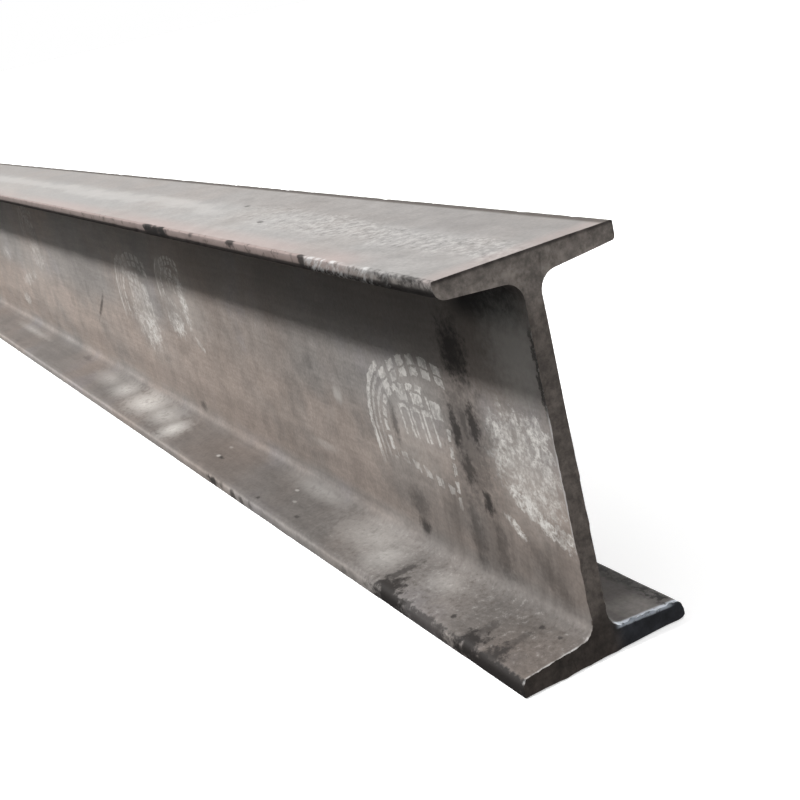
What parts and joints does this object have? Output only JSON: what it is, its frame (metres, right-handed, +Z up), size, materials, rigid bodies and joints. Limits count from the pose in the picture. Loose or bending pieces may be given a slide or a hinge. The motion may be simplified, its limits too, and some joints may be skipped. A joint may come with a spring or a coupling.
{
  "type": "steel i-beam",
  "caption": "Hot-rolled steel I-beam with tapered flanges, rounded toes and square-cut ends; a stock length of structural beam that stands on its lower flange.",
  "frame": {"origin": "mid-length on the underside of the lower flange, the middle of the bounding box's bottom", "axes": "+X along the beam, +Y across the flanges, +Z up the web"},
  "size_m": [6, 0.096, 0.2],
  "materials": {
    "mill_scale_steel": "matte"
  },
  "bodies": {
    "root": {"i_beam": "mill_scale_steel"}
  },
  "joints": []
}
